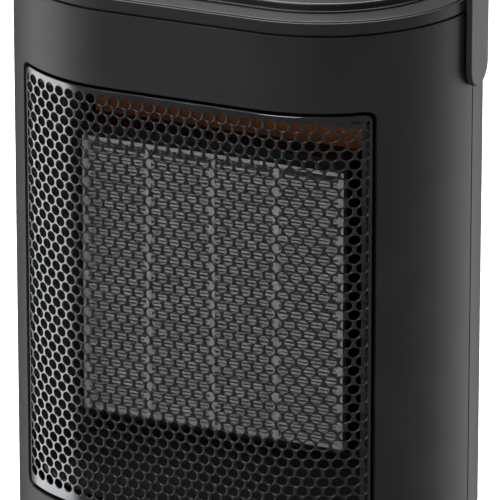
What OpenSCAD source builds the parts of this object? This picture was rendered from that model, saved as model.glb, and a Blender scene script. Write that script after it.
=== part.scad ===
// Compact ceramic space heater with a carrying handle.
// Millimetres, +Z up, front faces -Y, origin on the floor under the middle of the casing.

/* [Casing] */
// Width of the casing at its side seams
body_w = 181; // [176:1:188]
// Height of the parting line under the lid
lid_z = 232; // [230:1:240]
// Radius of the two front corners in plan, also the depth in front of the seam
front_r = 61; // [58:1:62]
// Radius of the two back corners in plan, also the depth behind the seam
back_r = 50; // [48:1:52]
// Wall thickness of the moulded shells
wall = 2.4; // [2:0.2:3]

/* [Grille] */
// Width of the grille panel, measured straight across
grille_w = 141; // [140:1:144]
// Top edge of the grille opening
grille_top = 202.4; // [200:0.2:203]
// Bottom edge of the grille opening
grille_bottom = 34; // [33:1:36]

/* [Heating element] */
// Width of the finned element
element_w = 106.8; // [100:0.2:107]
// Height of the finned element
element_h = 109; // [100:1:110]
// Depth of the finned element
element_d = 14; // [10:1:15]
// Height of the element's centre, which is also the fan's
element_z = 118; // [116:1:120]
// Number of fin columns
fin_columns = 4; // [3:1:5]

/* [Handle] */
// Width of the handle strap
strap_w = 16.3; // [12:0.1:18]
// Thickness of the handle strap
strap_t = 2.4; // [2:0.1:3]
// Height of the top of the handle
handle_top = 290; // [286:1:300]

/* [Knobs] */
// Diameter of each knob's skirt
knob_d = 38; // [32:1:42]
// Height of each knob above the control panel
knob_h = 13; // [10:1:14]
// Distance of each knob from the middle
knob_x = 34; // [30:1:36]

/* [Hidden] */
$fn = 96;
eps = 0.01;
fit_gap = 0.05;      // radial clearance of a running fit
move_gap = 0.5;      // clearance round a part that moves

// Plan outline
seam_y = (front_r - back_r) / 2;
front_y = seam_y - front_r;
back_y = seam_y + back_r;
half_w = body_w / 2;
front_flat = half_w - front_r;
back_flat = half_w - back_r;

// Heights
foot_h = 3;
plinth_z = 6;
gap = 0.5;
shell_top = lid_z - gap / 2;
lid_bottom = lid_z + gap / 2;
lid_top = lid_z + 5.6;
lid_step = 0.6;
panel_h = 3.5;
panel_top = lid_top + panel_h;
panel_inset = 11;

// Grille panel
groove = 0.8;
grille_r = 2.5;
sheet = 0.8;
sheet_inset = 0.3;
grille_flange = 4;
cell_x = 14.4;
cell_z = 10.8;
cell_d = 10.5;
cell_columns = 9;
cell_rows = 15;

// Air path: the duct runs back from the grille, round the element, to the fan
duct_w = 115;
duct_bottom = 47;
duct_top = 189;
duct_wall = 2;
duct_front = front_y + 4;
duct_back = seam_y + 1;
flare_back = -11.5;
mouth_w = grille_w - 2;
mouth_bottom = 40;
mouth_top = 198;
element_front = front_y + 28.5;
element_back = element_front + element_d;
bar_w = 2.3;
end_band = 1.6;
fin_pitch = 1.25;
foil = 0.3;
carrier_w = 109;
carrier_bottom = 62;
carrier_top = 188;
carrier_t = 2;
frame_side = 1.4;
frame_top = 5;

// Fan and motor, all on an axis along Y
fan_r = 50;
fan_gap = 2;
fan_plate_t = 2;
ring_depth = 20;
fan_front = duct_back + fan_plate_t + 1;
hub_r = 17;
hub_len = 14;
blades = 7;
shaft_r = 2.5;
motor_r = 22;
motor_front = fan_front + hub_len + 2;
motor_len = 19;
bearing_r = 5.5;
bearing_len = 4;
bracket_t = 3;
bracket_arms = 4;
arm_w = 6;
arm_inset = 0.4;
blade_pitch = 32;
blade_t = 1.6;
blade_chord = 28;
bracket_screw_r = fan_r + fan_gap + 5.5;

// Temperature limiters on top of the duct
limiter_y = -4;
cutout_x = -22;
cutout_h = 7;
fuse_x = 21;

// Handle
strap_out = half_w + 2.8;
strap_in = strap_out - strap_t;
pivot_z = lid_z - 21.6;
stub_r = 4;
stub_in = half_w - 8;
bush_r = 6;
bush_flange_r = 7.5;
bush_flange_t = 1.8;
handle_corner = 40;

// Controls
knob_gap = 0.6;
skirt_h = 3;
grip_r = knob_d / 2 - 3;
knob_shaft_r = 3;
switch_top = lid_z - 1.5;
switch_h = 15;
switch_half = 14;
thermostat_w = 16;
thermostat_l = 34;
blade_w = 6;
blade_l = 9;
tab_t = 0.8;
tab_w = 6;
pointer_w = 7;
pointer_rise = 2;
knob_roof = 4;
shaft_depth = 10;
neck_h = 3;
lens_y = -26;
lens_r = 3;
lens_flange = 1.2;
lens_stand = 0.6;
lens_play = 0.02;
lamp_r = 2.5;
lamp_h = 7.6;
lead_r = 0.4;

// Tip-over switch in the base
tip_y = 10;
plunger_r = 4;
guide_r = 7;
guide_top = 14;
tip_travel = 4;
collar_t = 2;
tip_switch_t = 7;

// Screws: X and Z of the four that close the shells, X and Y of the four in the base
shell_screw_x = 30;
shell_screw_z = [29, 209];
shell_seat_y = 20;
base_screw_front = [75, -25];
base_screw_back = [73.5, 34];
screw_r = 1.75;
boss_r = 4.5;
boss_top = 24;

// Cord inlet, square to the left back corner, low down
gland_turn = 25;
gland_z = 26;
gland_bore_r = 3.6;
gland_r = 6.5;
gland_flange_r = 9;

// Terminal block on the base
block_x = -6;
block_y = 35;
block_pitch = 12;
block_d = 14;
block_h = 13;

// Internal leads
wire_sides = 8;
wire_steps = 16;

// Back intake
intake_slots = 15;
intake_pitch = 6;
intake_slot = 3;
intake_w = 34;

// ---------------------------------------------------------------- helpers

// Half of the plan, cut from a straight-sided shape with round ends
module plan_half(flat, r, side) {
    intersection() {
        union() {
            for (s = [-1, 1]) translate([s * flat, 0]) circle(r);
            square([2 * flat, 2 * r], center = true);
        }
        translate([-half_w - 1, side < 0 ? -r - 1 : 0]) square([body_w + 2, r + 1]);
    }
}

// Plan of the casing, moved inwards by inset; side picks the front, the back or both
module plan(inset = 0, side = 0) {
    translate([0, seam_y]) {
        if (side <= 0) plan_half(front_flat, front_r - inset, -1);
        if (side >= 0) plan_half(back_flat, back_r - inset, 1);
    }
}

module slab(z0, z1, inset = 0, side = 0) {
    translate([0, 0, z0]) linear_extrude(z1 - z0) plan(inset, side);
}

module tube_wall(z0, z1, inset, t, side = 0) {
    difference() {
        slab(z0, z1, inset, side);
        slab(z0 - 1, z1 + 1, inset + t, side);
        if (side != 0) seam_cut(z0, z1);
    }
}

// Hairline gap where the front and back shells meet
module seam_cut(z0, z1) {
    translate([-half_w - 1, seam_y - 0.1, z0 - 1]) cube([body_w + 2, 0.2, z1 - z0 + 2]);
}

// Cylinder whose axis runs along Y from y0 to y1
module y_cyl(x, z, y0, y1, r) {
    translate([x, y0, z]) rotate([-90, 0, 0]) cylinder(h = y1 - y0, r = r);
}

// Cylinder whose axis runs along X from x0 to x1
module x_cyl(y, z, x0, x1, r) {
    translate([x0, y, z]) rotate([0, 90, 0]) cylinder(h = x1 - x0, r = r);
}

module z_cyl(x, y, z0, z1, r) {
    translate([x, y, z0]) cylinder(h = z1 - z0, r = r);
}

// Block given by its low and high corners
module block(low, high) {
    translate(low) cube(high - low);
}

// Rounded upright rectangle, extruded along Y
module window(w, z0, z1, r, y0, y1) {
    translate([0, y1, 0]) rotate([90, 0, 0]) linear_extrude(y1 - y0) {
        for (s = [-1, 1], z = [z0 + r, z1 - r]) translate([s * (w / 2 - r), z]) circle(r);
        translate([-w / 2, z0 + r]) square([w, z1 - z0 - 2 * r]);
        translate([-w / 2 + r, z0]) square([w - 2 * r, z1 - z0]);
    }
}

// ---------------------------------------------------------------- casing

module front_shell() {
    color("#2b2b2c") {
        difference() {
            union() {
                tube_wall(plinth_z, shell_top, 0, wall, -1);
                for (s = [-1, 1], z = shell_screw_z) {
                    y_cyl(s * shell_screw_x, z, front_y + wall / 2, seam_y - 0.1, boss_r);
                }
                for (s = [-1, 1]) base_boss(s * base_screw_front[0], base_screw_front[1]);
            }
            window(grille_w + 2 * groove, grille_bottom, grille_top, grille_r + groove,
                front_y - 1, seam_y - 10);
            for (s = [-1, 1]) {
                x_cyl(seam_y, pivot_z, s * half_w - 10, s * half_w + 10, bush_r);
                z_cyl(s * base_screw_front[0], base_screw_front[1], 0, boss_top - 2, screw_r);
            }
            for (s = [-1, 1], z = shell_screw_z) {
                y_cyl(s * shell_screw_x, z, seam_y - 22, seam_y, screw_r);
            }
        }
    }
}

module base_boss(x, y) {
    z_cyl(x, y, plinth_z + 3, boss_top, boss_r);
}

module rear_shell() {
    color("#38383a") {
        difference() {
            union() {
                tube_wall(plinth_z, shell_top, 0, wall, 1);
                for (s = [-1, 1], z = shell_screw_z) {
                    y_cyl(s * shell_screw_x, z, seam_y + 0.1, back_y - wall / 2, boss_r + 1);
                }
                for (s = [-1, 1]) base_boss(s * base_screw_back[0], base_screw_back[1]);
            }
            for (i = [0 : intake_slots - 1], s = [-1, 1]) intake_cut(i, s);
            for (s = [-1, 1]) {
                x_cyl(seam_y, pivot_z, s * half_w - 10, s * half_w + 10, bush_r);
                z_cyl(s * base_screw_back[0], base_screw_back[1], 0, boss_top - 2, screw_r);
            }
            for (s = [-1, 1], z = shell_screw_z) {
                y_cyl(s * shell_screw_x, z, seam_y, back_y, screw_r);
                y_cyl(s * shell_screw_x, z, shell_seat_y, back_y + 1, boss_r - 0.5);
            }
            gland_place() y_cyl(0, 0, back_r - 10, back_r + 3, gland_r);
        }
    }
}

// One of the paired horizontal slots of the back air intake
module intake_cut(i, s) {
    z = element_z + (i - (intake_slots - 1) / 2) * intake_pitch - intake_slot / 2;
    x = s > 0 ? 2 : -2 - intake_w;
    block([x, back_y - wall - 2, z], [x + intake_w, back_y + 1, z + intake_slot]);
}

module top_lid() {
    color("#303032") {
        difference() {
            union() {
                slab(lid_bottom, lid_top - lid_step);
                slab(lid_top - lid_step - eps, lid_top, lid_step);
                tube_wall(lid_bottom - 5, lid_bottom + eps, wall + 0.2, 1.6);
                tube_wall(shell_top, lid_bottom + eps, 1.4, 2.2);
            }
            slab(lid_bottom - 6, lid_top - wall, wall + 1.8);
            for (s = [-1, 1]) z_cyl(s * knob_x, 0, lid_z, lid_top + 1, knob_shaft_r + move_gap);
            z_cyl(0, lens_y, lid_z, lid_top + 1, lens_r);
        }
    }
}

// Raised oval island that carries the knobs
module control_panel() {
    color("#2a2a2b") {
        difference() {
            union() {
                slab(lid_top, panel_top, panel_inset);
                slab(lid_top, lid_top + 0.8, panel_inset - 0.8);
            }
            for (s = [-1, 1]) {
                z_cyl(s * knob_x, 0, lid_top - 1, panel_top + 1, knob_shaft_r + move_gap);
            }
            z_cyl(0, lens_y, lid_top - 1, panel_top + 1, lens_r);
        }
    }
}

// Curved perforated panel with a folded rim
module front_grille() {
    cell_z0 = (grille_top + grille_bottom) / 2;
    color("#1d1d1e") {
        difference() {
            intersection() {
                tube_wall(grille_bottom, grille_top, sheet_inset, grille_flange, -1);
                window(grille_w, grille_bottom + groove, grille_top - groove, grille_r,
                    front_y - 1, seam_y);
            }
            intersection() {
                slab(grille_bottom, grille_top, sheet_inset + sheet, -1);
                window(grille_w - 2 * sheet, grille_bottom + groove + sheet,
                    grille_top - groove - sheet, grille_r - sheet, front_y - 1, seam_y);
            }
            for (row = [0 : cell_rows - 1]) {
                odd = row % 2;
                for (col = [0 : cell_columns - 1 - odd]) {
                    translate([
                        (col - (cell_columns - 1 - odd) / 2) * cell_x,
                        seam_y,
                        cell_z0 + (row - (cell_rows - 1) / 2) * cell_z
                    ]) rotate([90, 30, 0]) cylinder(h = front_r + 1, d = cell_d, $fn = 6);
                }
            }
        }
    }
}

module base_plate() {
    color("#262627") {
        difference() {
            union() {
                slab(foot_h, plinth_z, 2);
                slab(plinth_z - eps, plinth_z + 2, wall + 0.2);
                z_cyl(0, tip_y, plinth_z, guide_top, guide_r);
            }
            z_cyl(0, tip_y, 0, guide_top + 1, plunger_r + fit_gap);
            for (s = [-1, 1]) {
                base_screw_hole(s * base_screw_front[0], base_screw_front[1]);
                base_screw_hole(s * base_screw_back[0], base_screw_back[1]);
                for (y = foot_rows()) z_cyl(s * 52, y, 0, plinth_z, 3);
            }
        }
    }
}

module base_screw_hole(x, y) {
    z_cyl(x, y, 0, plinth_z + 3, screw_r + 0.1);
    z_cyl(x, y, 0, foot_h + 2.2, 3.6);
}

function foot_rows() = [front_y + 17, back_y - 17];

module rubber_feet() {
    color("#161616") {
        for (s = [-1, 1], y = foot_rows()) {
            z_cyl(s * 52, y, 0, foot_h, 8);
            z_cyl(s * 52, y, foot_h - eps, plinth_z - 0.2, 3);
        }
    }
}

// ---------------------------------------------------------------- handle

module arch(x, top, r) {
    for (s = [-1, 1]) translate([s * (x - r), top - r]) circle(r);
    translate([-x, pivot_z - strap_w]) square([2 * x, top - r - pivot_z + strap_w]);
    translate([-x + r, pivot_z]) square([2 * (x - r), top - pivot_z]);
}

module handle() {
    color("#434345") {
        intersection() {
            translate([0, seam_y + strap_w / 2, 0]) rotate([90, 0, 0]) {
                linear_extrude(strap_w) {
                    difference() {
                        arch(strap_out, handle_top, handle_corner);
                        arch(strap_in, handle_top - strap_t, handle_corner - strap_t);
                        translate([-strap_in, 0]) square([2 * strap_in, pivot_z]);
                    }
                }
            }
            union() {
                x_cyl(seam_y, pivot_z, -strap_out - 1, strap_out + 1, strap_w / 2);
                block([-strap_out - 1, seam_y - strap_w / 2, pivot_z],
                    [strap_out + 1, seam_y + strap_w / 2, handle_top + 1]);
            }
        }
        x_cyl(seam_y, pivot_z, stub_in, strap_in + eps, stub_r);
        x_cyl(seam_y, pivot_z, -strap_in - eps, -stub_in, stub_r);
    }
}

module handle_bushes() {
    color("#8a8a8c") {
        for (s = [0, 1]) mirror([s, 0, 0]) {
            difference() {
                union() {
                    x_cyl(seam_y, pivot_z, half_w - 6, half_w - 0.5, bush_r);
                    x_cyl(seam_y, pivot_z, half_w - 6, half_w - 6 + bush_flange_t, bush_flange_r);
                }
                x_cyl(seam_y, pivot_z, half_w - 10, half_w + 1, stub_r + fit_gap);
            }
        }
    }
}

// ---------------------------------------------------------------- controls

module knob(x) {
    z0 = panel_top + knob_gap;
    difference() {
        union() {
            z_cyl(x, 0, z0, z0 + skirt_h, knob_d / 2);
            z_cyl(x, 0, z0, z0 + knob_h - pointer_rise, grip_r);
            block([x - pointer_w / 2, -grip_r, z0], [x + pointer_w / 2, grip_r, z0 + knob_h]);
        }
        z_cyl(x, 0, z0 - 1, z0 + knob_h - knob_roof, knob_shaft_r + fit_gap);
    }
}

module knob_shaft(x) {
    z_cyl(x, 0, switch_top - shaft_depth, panel_top + knob_gap + knob_h - knob_roof, knob_shaft_r);
}

module mode_knob() {
    color("#3a3a3c") knob(-knob_x);
}

module mode_shaft() {
    color("#d8d8d0") knob_shaft(-knob_x);
}

// Upright blade terminal that stands on the point at the middle of its foot
module tab(foot, h) {
    translate([foot[0] - tab_t / 2, foot[1] - tab_w / 2, foot[2]]) cube([tab_t, tab_w, h]);
}

module mode_switch() {
    bottom = switch_top - switch_h;
    color("#20242a") {
        difference() {
            union() {
                block([-knob_x - switch_half, -switch_half, bottom],
                    [-knob_x + switch_half, switch_half, switch_top - neck_h]);
                z_cyl(-knob_x, 0, switch_top - neck_h - eps, switch_top, 6);
                for (y = [-10, 0, 10], s = [-1, 1]) {
                    tab([-knob_x + s * 9, y, bottom - 3.5], 3.5 + eps);
                }
            }
            z_cyl(-knob_x, 0, switch_top - shaft_depth, switch_top + 1, knob_shaft_r + fit_gap);
        }
    }
}

module thermostat_knob() {
    color("#3a3a3c") knob(knob_x);
}

module thermostat_shaft() {
    color("#c9a24b") knob_shaft(knob_x);
}

// Bimetal thermostat: a ceramic block with a threaded neck and a sensing blade
module thermostat() {
    color("#e6e1d4") {
        difference() {
            union() {
                block([knob_x - thermostat_w / 2, -thermostat_l / 2, switch_top - switch_h],
                    [knob_x + thermostat_w / 2, thermostat_l / 2, switch_top - neck_h]);
                z_cyl(knob_x, 0, switch_top - neck_h - eps, switch_top, 5);
                block([knob_x - blade_w / 2, -thermostat_l / 2 - blade_l, switch_top - 8],
                    [knob_x + blade_w / 2, -thermostat_l / 2 + eps, switch_top - 7]);
            }
            z_cyl(knob_x, 0, switch_top - shaft_depth, switch_top + 1, knob_shaft_r + fit_gap);
        }
    }
}

module indicator_lens() {
    color("#e8a33a") {
        z_cyl(0, lens_y, lid_top - wall - lens_flange, panel_top + lens_stand, lens_r - lens_play);
        z_cyl(0, lens_y, lid_top - wall - lens_flange, lid_top - wall, lens_r + lens_flange);
    }
}

module indicator_lamp() {
    top = lid_top - wall - lens_flange - 0.2;
    color("#f0e6d0") {
        z_cyl(0, lens_y, top - lamp_h, top, lamp_r);
        for (s = [-1, 1]) z_cyl(s * lamp_r / 2, lens_y, top - lamp_h - 4, top - lamp_h + eps, lead_r);
    }
}

// ---------------------------------------------------------------- air path

// Box with an open front and back whose front end is wider than its back end
module flare(grow) {
    hull() {
        block([-mouth_w / 2 - grow, duct_front, mouth_bottom - grow],
            [mouth_w / 2 + grow, duct_front + eps, mouth_top + grow]);
        block([-duct_w / 2 - grow, flare_back - eps, duct_bottom - grow],
            [duct_w / 2 + grow, flare_back, duct_top + grow]);
    }
}

module air_duct() {
    color("#2a2a2a") {
        difference() {
            intersection() {
                union() {
                    flare(duct_wall);
                    block([-duct_w / 2 - duct_wall, flare_back - eps, duct_bottom - duct_wall],
                        [duct_w / 2 + duct_wall, duct_back, duct_top + duct_wall]);
                }
                slab(0, lid_z, wall + 2.2);
            }
            flare(0);
            translate([0, -1, 0]) {
                block([-mouth_w / 2, duct_front, mouth_bottom],
                    [mouth_w / 2, duct_front + 1, mouth_top]);
            }
            block([-duct_w / 2, flare_back - 1, duct_bottom],
                [duct_w / 2, duct_back + 1, duct_top]);
        }
    }
}

// Plate behind the duct with the round inlet ring of the fan
module fan_shroud() {
    ring_r = fan_r + fan_gap;
    color("#232325") {
        difference() {
            union() {
                block([-duct_w / 2 - duct_wall, duct_back, duct_bottom - duct_wall],
                    [duct_w / 2 + duct_wall, duct_back + fan_plate_t, duct_top + duct_wall]);
                y_cyl(0, element_z, duct_back, duct_back + ring_depth, ring_r + 2);
                for (i = [0 : bracket_arms - 1]) {
                    bracket_place(i) y_cyl(0, 0, duct_back, duct_back + ring_depth, 4);
                }
            }
            y_cyl(0, element_z, duct_back - 1, duct_back + ring_depth + 1, ring_r);
            for (i = [0 : bracket_arms - 1]) {
                bracket_place(i) y_cyl(0, 0, duct_back + 6, duct_back + ring_depth + 1, 1.2);
            }
        }
    }
}

// Moves its child to one of the bracket's screw positions on the fan ring
module bracket_place(i) {
    angle = 45 + i * 360 / bracket_arms;
    translate([bracket_screw_r * cos(angle), 0, element_z + bracket_screw_r * sin(angle)]) children();
}

// Heat-resistant board that carries the element
module element_carrier() {
    color("#6b3213") {
        difference() {
            block([-carrier_w / 2, element_back, carrier_bottom],
                [carrier_w / 2, element_back + carrier_t, carrier_top]);
            block([-element_w / 2 + 4, element_back - 1, element_z - element_h / 2 + 4],
                [element_w / 2 - 4, element_back + carrier_t + 1, element_z + element_h / 2 - 4]);
        }
    }
}

// Metal clamp round the element
module element_frame() {
    x = element_w / 2 + 0.1;
    z0 = element_z - element_h / 2 - 0.1;
    z1 = element_z + element_h / 2 + 0.1;
    color("#303030") {
        difference() {
            block([-x - frame_side, element_front - 0.4, z0 - frame_side],
                [x + frame_side, element_back, z1 + frame_top]);
            block([-x, element_front - 1, z0], [x, element_back + 1, z1]);
        }
    }
}

// Upright heating bars with a band across each end
module heating_bars() {
    z0 = element_z - element_h / 2;
    z1 = element_z + element_h / 2;
    color("#9a9a98") {
        for (i = [0 : fin_columns]) {
            x = -element_w / 2 + i * (element_w - bar_w) / fin_columns;
            block([x, element_front, z0], [x + bar_w, element_back, z1]);
        }
        for (z = [z0, z1 - end_band]) {
            block([-element_w / 2, element_front, z], [element_w / 2, element_back, z + end_band]);
        }
    }
}

// Foil folded to and fro between two bars: level passes joined at alternate ends
module foil_column(w, passes) {
    for (i = [0 : passes - 1]) translate([0, i * fin_pitch]) square([w, foil]);
    for (i = [0 : passes - 2]) {
        translate([i % 2 == 0 ? w - foil : 0, i * fin_pitch]) square([foil, fin_pitch + foil]);
    }
}

module heating_fins() {
    column = (element_w - bar_w) / fin_columns;
    z0 = element_z - element_h / 2 + end_band;
    passes = floor((element_h - 2 * end_band) / fin_pitch);
    color("#77777a") {
        for (c = [0 : fin_columns - 1]) {
            translate([-element_w / 2 + bar_w + c * column, element_back, z0]) {
                rotate([90, 0, 0]) linear_extrude(element_d) foil_column(column - bar_w, passes);
            }
        }
    }
}

module heater_terminals() {
    top = element_z + element_h / 2 + frame_top + 0.1;
    back = element_back + carrier_t;
    color("#c8c8c4") {
        for (x = [-36, -12, 36]) {
            block([x - tab_w / 2, back, top - 12], [x + tab_w / 2, back + tab_t, top + 3]);
            block([x - tab_w / 2, back, top - 12], [x + tab_w / 2, back + 9, top - 12 + tab_t]);
        }
    }
}

// ---------------------------------------------------------------- fan

module fan_impeller() {
    color("#1f1f22") {
        difference() {
            union() {
                y_cyl(0, element_z, fan_front, fan_front + hub_len, hub_r);
                intersection() {
                    y_cyl(0, element_z, fan_front, fan_front + hub_len, fan_r);
                    for (i = [0 : blades - 1]) {
                        translate([0, fan_front + hub_len / 2, element_z]) {
                            rotate([0, i * 360 / blades, 0]) fan_blade();
                        }
                    }
                }
            }
            y_cyl(0, element_z, fan_front - 1, fan_front + hub_len + 1, shaft_r);
        }
    }
}

// Flat blade set at a pitch to the fan's plane
module fan_blade() {
    translate([hub_r - 1, 0, 0]) rotate([blade_pitch, 0, 0]) {
        translate([0, -blade_t / 2, -blade_chord / 2]) cube([fan_r, blade_t, blade_chord]);
    }
}

module motor_shaft() {
    color("#b9b9bc") y_cyl(0, element_z, fan_front - 1.5, motor_front + motor_len + 1.5, shaft_r);
}

module motor_housing() {
    back = motor_front + motor_len;
    color("#8d8f93") {
        difference() {
            y_cyl(0, element_z, motor_front, back, motor_r);
            y_cyl(0, element_z, motor_front - 1, back + 1, shaft_r + 1);
            y_cyl(0, element_z, motor_front - 1, motor_front + bearing_len, bearing_r);
            y_cyl(0, element_z, back - bearing_len, back + 1, bearing_r);
        }
    }
}

module motor_bearings() {
    back = motor_front + motor_len;
    color("#a8793a") {
        difference() {
            union() {
                y_cyl(0, element_z, motor_front, motor_front + bearing_len, bearing_r);
                y_cyl(0, element_z, back - bearing_len, back, bearing_r);
            }
            y_cyl(0, element_z, motor_front - 1, back + 1, shaft_r + fit_gap);
        }
    }
}

// Spider that holds the motor behind the fan
module motor_bracket() {
    y0 = duct_back + ring_depth;
    color("#2c2c2f") {
        difference() {
            union() {
                y_cyl(0, element_z, y0, y0 + bracket_t, motor_r + 2.5);
                for (i = [0 : bracket_arms - 1]) {
                    bracket_place(i) y_cyl(0, 0, y0, y0 + bracket_t, 4.5);
                    translate([0, y0, element_z]) rotate([0, -45 - i * 360 / bracket_arms, 0]) {
                        translate([motor_r + 1, arm_inset, -arm_w / 2]) {
                            cube([bracket_screw_r - motor_r - 4, bracket_t - 2 * arm_inset, arm_w]);
                        }
                    }
                }
            }
            y_cyl(0, element_z, y0 - 1, y0 + bracket_t + 1, motor_r);
            for (i = [0 : bracket_arms - 1]) {
                bracket_place(i) y_cyl(0, 0, y0 - 1, y0 + bracket_t + 1, 1.6);
            }
        }
    }
}

// Screw along Y with its head at the high end
module y_screw(x, z, y_tip, y_seat, r, head_r, head_h) {
    difference() {
        union() {
            y_cyl(x, z, y_tip, y_seat + eps, r);
            y_cyl(x, z, y_seat, y_seat + head_h, head_r);
        }
        block([x - head_r * 0.7, y_seat + head_h * 0.5, z - 0.4],
            [x + head_r * 0.7, y_seat + head_h + 1, z + 0.4]);
        block([x - 0.4, y_seat + head_h * 0.5, z - head_r * 0.7],
            [x + 0.4, y_seat + head_h + 1, z + head_r * 0.7]);
    }
}

module motor_screws() {
    y0 = duct_back + ring_depth + bracket_t;
    color("#b5b5b8") {
        for (i = [0 : bracket_arms - 1]) bracket_place(i) y_screw(0, 0, y0 - 12, y0, 1.2, 2.8, 2);
    }
}

module shell_screws() {
    color("#8f9094") {
        for (s = [-1, 1], z = shell_screw_z) {
            y_screw(s * shell_screw_x, z, seam_y - 18, shell_seat_y, screw_r, 3.6, 2.4);
        }
    }
}

module base_screws() {
    color("#8f9094") {
        for (s = [-1, 1], p = [base_screw_front, base_screw_back]) {
            z_cyl(s * p[0], p[1], foot_h + 2.2 - eps, boss_top - 4, screw_r);
            z_cyl(s * p[0], p[1], foot_h + 0.2, foot_h + 2.2, 3.3);
        }
    }
}

// ---------------------------------------------------------------- electrical

// Snap-disc cut-out on top of the duct
module thermal_cutout() {
    z0 = duct_top + duct_wall;
    color("#d9cfae") {
        z_cyl(cutout_x, limiter_y, z0, z0 + cutout_h, 8);
        block([cutout_x - 12, limiter_y - 3, z0], [cutout_x + 12, limiter_y + 3, z0 + 1]);
        for (s = [-1, 1]) tab([cutout_x + s * 5, limiter_y, z0 + cutout_h - eps], 6);
    }
}

// One-shot fuse lying in a saddle beside the cut-out
module thermal_fuse() {
    z0 = duct_top + duct_wall;
    color("#e9e9ea") {
        x_cyl(limiter_y, z0 + 3, fuse_x - 6, fuse_x + 6, 2);
        x_cyl(limiter_y, z0 + 3, fuse_x - 12, fuse_x + 12, 0.5);
        block([fuse_x - 3, limiter_y - 2.5, z0], [fuse_x + 3, limiter_y + 2.5, z0 + 1.6]);
    }
}

module tip_plunger() {
    rest = guide_top + tip_travel + 0.3;
    color("#44464a") {
        z_cyl(0, tip_y, 0, rest + collar_t, plunger_r);
        z_cyl(0, tip_y, rest, rest + collar_t, plunger_r + 2);
    }
}

module tip_switch() {
    y0 = tip_y - tip_switch_t / 2;
    y1 = tip_y + tip_switch_t / 2;
    z0 = guide_top + tip_travel + collar_t + 1.3;
    z1 = z0 + 12;
    color("#1b1b1d") {
        block([-10, y0, z0], [10, y1, z1]);
        for (s = [-1, 1]) {
            block([s * 14 - 1.5, y0, plinth_z + 2], [s * 14 + 1.5, y1, z1]);
            block([s * 12 - 2.5, y0, z0 + 2], [s * 12 + 2.5, y1, z1 - 2]);
        }
        for (x = [-6, 0, 6]) tab([x, tip_y, z1 - eps], 5);
    }
}

module terminal_block() {
    z0 = plinth_z + 2;
    color("#dcdcd6") {
        difference() {
            block([block_x - 1.5 * block_pitch, block_y - block_d / 2, z0],
                [block_x + 1.5 * block_pitch, block_y + block_d / 2, z0 + block_h]);
            for (i = [-1 : 1]) {
                z_cyl(block_x + i * block_pitch, block_y, z0 + 5, z0 + block_h + 1, 3);
                y_cyl(block_x + i * block_pitch, z0 + 4, block_y - block_d, block_y + block_d, 1.6);
            }
        }
    }
}

// Turns its child to the cord inlet: +Y points straight out of the back corner
module gland_place() {
    translate([-back_flat, seam_y, gland_z]) rotate([0, 0, gland_turn]) children();
}

// Cable gland: an inlet bush with a collar outside and a nut inside
module cord_gland() {
    color("#1a1a1b") {
        gland_place() difference() {
            union() {
                y_cyl(0, 0, back_r - 14, back_r + 2.6, gland_r - 0.02);
                y_cyl(0, 0, back_r + 0.1, back_r + 2.6, gland_flange_r);
                y_cyl(0, 0, back_r - 11, back_r - 7, gland_flange_r);
            }
            y_cyl(0, 0, back_r - 15, back_r + 4, gland_bore_r);
        }
    }
}

// Cubic curve through the ends a and d, drawn towards b and c
function curve_point(a, b, c, d, t) =
    a * pow(1 - t, 3) + 3 * b * t * pow(1 - t, 2) + 3 * c * t * t * (1 - t) + d * pow(t, 3);

// Ring of points round p, square to the direction along
function ring(p, along, r) =
    let (u = cross(along, [1, 1, 0]), side = u / norm(u), v = cross(along, side), up = v / norm(v))
    [for (k = [0 : wire_sides - 1]) p + r * (side * cos(k * 360 / wire_sides)
        + up * sin(k * 360 / wire_sides))];

// Flexible lead swept along a cubic curve
module wire(a, b, c, d, r) {
    route = [for (i = [0 : wire_steps]) curve_point(a, b, c, d, i / wire_steps)];
    rings = [for (i = [0 : wire_steps])
        ring(route[i], route[min(i + 1, wire_steps)] - route[max(i - 1, 0)], r)];
    points = [for (one = rings, p = one) p];
    sides = [for (i = [0 : wire_steps - 1], k = [0 : wire_sides - 1])
        let (j = (k + 1) % wire_sides, low = i * wire_sides, high = low + wire_sides)
        [low + k, low + j, high + j, high + k]];
    start = [for (k = [wire_sides - 1 : -1 : 0]) k];
    end = [for (k = [0 : wire_sides - 1]) wire_steps * wire_sides + k];
    polyhedron(points, concat([start], sides, [end]));
}

// Internal leads up both sides of the duct, and the motor's own lead
module lead_wires() {
    side = duct_w / 2 + duct_wall + 7;
    color("#8c2f24") {
        for (s = [-1, 1]) {
            wire([s * side, 30, 12], [s * (side + 4), 32, 90], [s * (side + 4), 26, 180],
                [s * 50, 8, 208], 1.3);
        }
        wire([side - 4, 38, 12], [side - 2, 42, 70], [50, 44, 90], [28, 44, 98], 1.1);
    }
}

front_shell();
rear_shell();
top_lid();
control_panel();
front_grille();
base_plate();
rubber_feet();
handle();
handle_bushes();
mode_knob();
mode_shaft();
mode_switch();
thermostat_knob();
thermostat_shaft();
thermostat();
indicator_lens();
indicator_lamp();
air_duct();
fan_shroud();
element_carrier();
element_frame();
heating_bars();
heating_fins();
heater_terminals();
fan_impeller();
motor_shaft();
motor_housing();
motor_bearings();
motor_bracket();
motor_screws();
thermal_cutout();
thermal_fuse();
tip_plunger();
tip_switch();
terminal_block();
cord_gland();
lead_wires();
shell_screws();
base_screws();
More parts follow.
